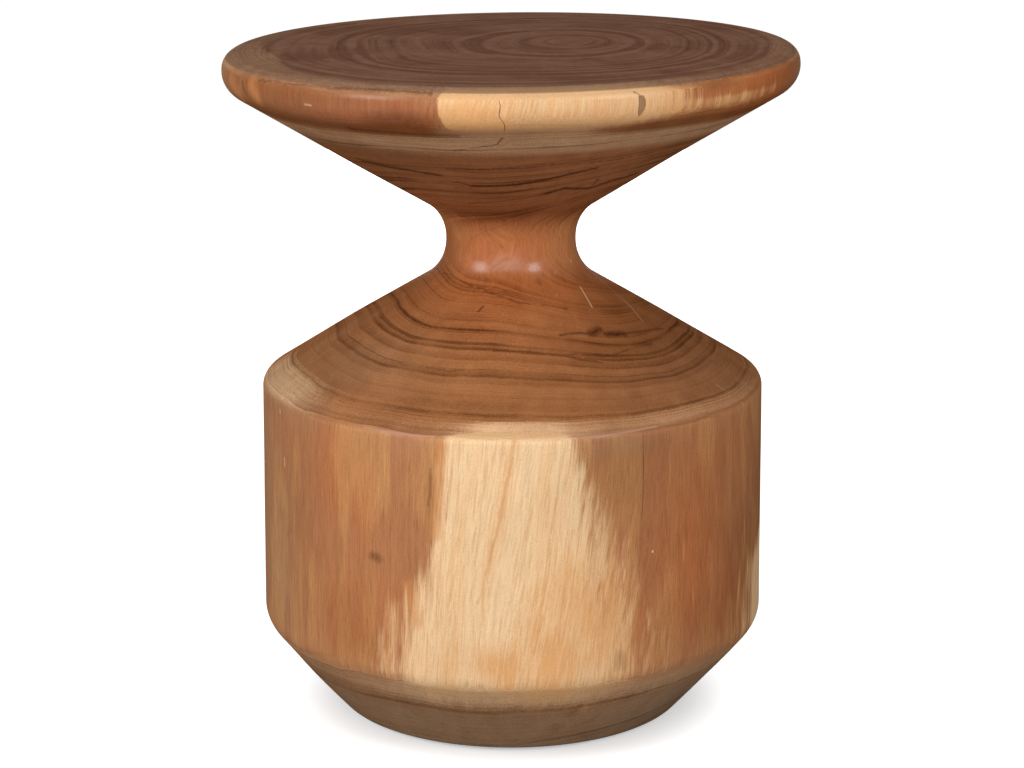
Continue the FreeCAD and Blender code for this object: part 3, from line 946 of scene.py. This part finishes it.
deepened = (rise(swing(clouds, 0.6, bands), 0.30, 0.62), rise(swing(clouds, 0.7, broad_hairs), 0.25, 0.75),
            rise(swing(clouds, 0.6, broad_hairs), 0.28, 0.74))
colour = by_slope(*[tinted(share, light, deep) for share, light, deep in zip(deepened, HEART, HEART_DEEP)])
colour = tinted(times(edging, slant), colour, tinted(flat, EDGE_SLANT, EDGE_END))
redness = times(times(given["Redness"], swing(strands, 0.3, 0.75)), upright)
# The darkness layer carries the wood's dark patches and also the painted shade at the side edges and along
# the foot's bottom edge.
darkness = times(times(given["Darkness"], swing(strands, 0.25, 0.8)), upright)
greyness = times(given["Greyness"], upright)
stains = ((redness, 0.70, RED_TINT), (darkness, 0.65, DARK_WOOD_AND_SHADE_TINT), (greyness, 0.55, GREY_TINT))
for stain, most, tint in stains:
    colour = tinted(times(stain, most), colour, tint)
sap_colour = tinted(times(darkness, 0.55), by_slope(*SAP), SAP[1])
warmth = times(given["Redness"], 1.6, rise(clouds, 0.50, 0.70, 0.0, 0.45))
warmth = maths("ADD", warmth, rise(bands, 0.46, 0.66, 0.0, 0.34))
warmth = times(warmth, swing(strands, 0.9, 0.70), rise(swing(strands, 0.30, fibres), 0.56, 0.30, 0.0, 0.38))
warmth = maths("MINIMUM", maths("MAXIMUM", times(warmth, upright), 0.0), 0.85)
colour = tinted(sap, colour, tinted(warmth, sap_colour, WARM_SAP))

# Light and dark: rings in full on slanted heartwood and weaker elsewhere, then every noise by its amount.
ring_share = times(times(times(sap, -0.5, 1.0), times(slant, 0.80, 0.20)), times(flat, -0.56, 1.0))
value = times(times(figure_depth, ring_share), 0.95, 1.0)
calm = times(sap, -0.60, 1.0)
for pattern, amount in ((fibres, 0.34), (strands, 0.09), (bands, 0.18)):
    value = swing(pattern, times(calm, amount), value)
value = swing(grain, 0.16, swing(clouds, 0.14, value))
value = maths("MAXIMUM", times(times(pore, calm), -0.16, value), 0.12)
shade = node_of(figure, "CombineColor", [maths("POWER", value, deepening) for deepening in DEEPENING])
colour = tinted(1.0, colour, shade.outputs[0], "MULTIPLY")

# The marks: the coloured ones have a shaken edge, and the scratches and the painted highlights along the
# drum's upper arris have a clean one.
shaken = noise(straight, (260, 260, 90)).node.outputs["Color"]
shaken = vectors("SCALE", vectors("SUBTRACT", shaken, (0.5, 0.5, 0.5))[0], Scale=MARK_SHAKE)[0]
shaken = vectors("ADD", straight, shaken)[0]
colour = tinted(times(marks_of(shaken, DARK_MARKS), swing(grain, 0.8, 0.95)), colour, DARK_MARK)
colour = tinted(marks_of(shaken, ORANGE_MARKS), colour, ORANGE_MARK)
scratched = marks_of(straight, PALE_MARKS)
colour = tinted(scratched, colour, PALE_MARK)
# The painted highlight along the drum's upper arris goes on last.
feed(put["Colour"], tinted(marks_of(straight, ARRIS_HIGHLIGHT_MARKS), colour, ARRIS_HIGHLIGHT_PAINT))
feed(put["Gloss loss"], times(fibres, 0.35, pore))
feed(put["Height"], times(late, 0.5, times(scratched, -0.5, times(fibres, 0.6, times(pore, -0.7)))))


def new_look(name):
    """A new material, its tree, its shader's inputs and the object's coordinates in it."""
    look = bpy.data.materials.new(name)
    look.use_nodes = True
    tree = look.node_tree
    place = node_of(tree, "TexCoord").outputs["Object"]
    return look, tree, tree.nodes["Principled BSDF"].inputs, place


def give_relief(surface, height, strength, bump):
    """Let a height raise a shader's surface by up to the bump, in metres."""
    inputs = {"Height": height, "Strength": strength, "Distance": bump}
    feed(surface["Normal"], node_of(height.id_data, "Bump", inputs).outputs[0])


def dress(piece, look):
    """Give a piece one material."""
    piece.data.materials.clear()
    piece.data.materials.append(look)


# The finish is a thin satin coat, glossy only where hands have polished it.
WOOD_ROUGHNESS = 0.42
SPLINT_ROUGHNESS = 0.44
PORE_ROUGHNESS = 0.12
WOOD_RELIEF = 0.5
WOOD_BUMP = 0.00025
COAT_ROUGHNESS = 0.24


def written(tree, layer):
    """What a piece's points say of one layer of the wood's figure."""
    layer = layer.lower().replace(" ", "_")
    return node_of(tree, "Attribute", attribute_name=layer).outputs["Fac"]


def wooden(name, roughness):
    """A satin wood material around the log's figure, read from the piece's own floats."""
    look, tree, surface, place = new_look(name)
    layers = [written(tree, layer) for layer in FIGURE_LAYERS]
    grown = node_of(tree, "Group", (place, *layers), node_tree=figure)
    feed(surface["Base Color"], grown.outputs["Colour"])
    feed(surface["Roughness"], times(grown.outputs["Gloss loss"], PORE_ROUGHNESS, roughness))
    feed(surface["Coat Weight"], written(tree, "Polish"))
    give_relief(surface, grown.outputs["Height"], WOOD_RELIEF, WOOD_BUMP)
    surface["Specular IOR Level"].default_value = 0.0
    surface["Coat Roughness"].default_value = COAT_ROUGHNESS
    return look


show_figure(trunk_log)
dress(trunk_log, wooden("log wood", WOOD_ROUGHNESS))
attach(trunk_log, "root")
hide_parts("trunk")

# The sliver in the rim: a thin piece of brown heartwood, cut to a point. It is glued into a flaw of the
# log with a hair of glue round it, and turned and finished with the log, so it ends flush.
PLUG_SAP_SHIFT = -0.03
PLUG_STAIN = 0.62


def let_in(name, outline, azimuth, depth):
    """A let-in piece: what its tool has in common with the turned log, so it ends flush."""
    piece = solid_object(name, *turned_arrays(section, TURN_STEPS))
    cut_with(piece, solid_object(name + "_tool", *driven_piece(outline, azimuth, depth)), "INTERSECT")
    return piece


plug = let_in("plug_sliver", plug_outline(0), PLUG_AZIMUTH, PLUG_DEPTH)
show_figure(plug, depth_shift=PLUG_SAP_SHIFT, tint_share=0.0, stain=PLUG_STAIN)
dress(plug, wooden("plug wood", WOOD_ROUGHNESS))
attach(plug, "root")
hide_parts("rim_plug")

# The splint in the drum: a long tapered strip of the log's edge wood. It is driven with glue into a drying
# check before the last turning, so its face follows the drum's.
SPLINT_RING_SHIFT = 0.004
SPLINT_TINT_SHARE = 0.7
splint = let_in("splint_strip", splint_outline(0), SPLINT_AZIMUTH, SPLINT_DEPTH)
show_figure(splint, ring_shift=SPLINT_RING_SHIFT, tint_share=SPLINT_TINT_SHARE)
dress(splint, wooden("splint wood", SPLINT_ROUGHNESS))
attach(splint, "root")
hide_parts("drum_splint")

# The four glides under the foot: a rubber pad held by a zinc-plated washer and screw in a drilled
# recess. These are the frame's own nodes and get only their finish.
fine_wear, given, put = group_tree("fine_wear", {"Place": "Vector", "Grain": "Float"},
                                   {"Dust": "Float", "Height": "Float"})
grains = {"Vector": given["Place"], "Scale": given["Grain"]}
grains = node_of(fine_wear, "TexNoise", grains).outputs[0]
patches = noise(given["Place"], (140, 140, 140), detail=3.0, roughness=0.6)
feed(put["Dust"], rise(swing(grains, 0.2, patches), 0.40, 0.75))
feed(put["Height"], grains)

DUST_ROUGHNESS = 0.2
FITTING_RELIEF = 0.4


def fitting_look(name, clean, dusty, metallic, roughness, grain, bump):
    """A small fitting's material: its colour dulled by dust in soft patches over a fine grain."""
    look, tree, surface, place = new_look(name)
    worn = node_of(tree, "Group", (place, grain), node_tree=fine_wear)
    feed(surface["Base Color"], tinted(worn.outputs["Dust"], clean, dusty))
    feed(surface["Roughness"], times(worn.outputs["Dust"], DUST_ROUGHNESS, roughness))
    surface["Metallic"].default_value = metallic
    give_relief(surface, worn.outputs["Height"], FITTING_RELIEF, bump)
    return look


RUBBER = paint(38, 38, 39)
DUSTY_RUBBER = paint(84, 80, 74)
glide_rubber = fitting_look("glide rubber", RUBBER, DUSTY_RUBBER, 0.0, 0.60, 900.0, 0.0001)
for number in (1, 2, 3, 4):
    dress(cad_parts["glide_pad_%d" % number], glide_rubber)

# The washers and screws that hold the pads are stamped and turned steel. They share one zinc plating with
# a fine dull grain, a little dusty.
ZINC = paint(196, 198, 202)
DUSTY_ZINC = paint(150, 150, 148)
zinc_steel = fitting_look("zinc steel", ZINC, DUSTY_ZINC, 1.0, 0.30, 2200.0, 0.00004)
for number in (1, 2, 3, 4):
    dress(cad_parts["glide_washer_%d" % number], zinc_steel)
    dress(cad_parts["glide_screw_%d" % number], zinc_steel)
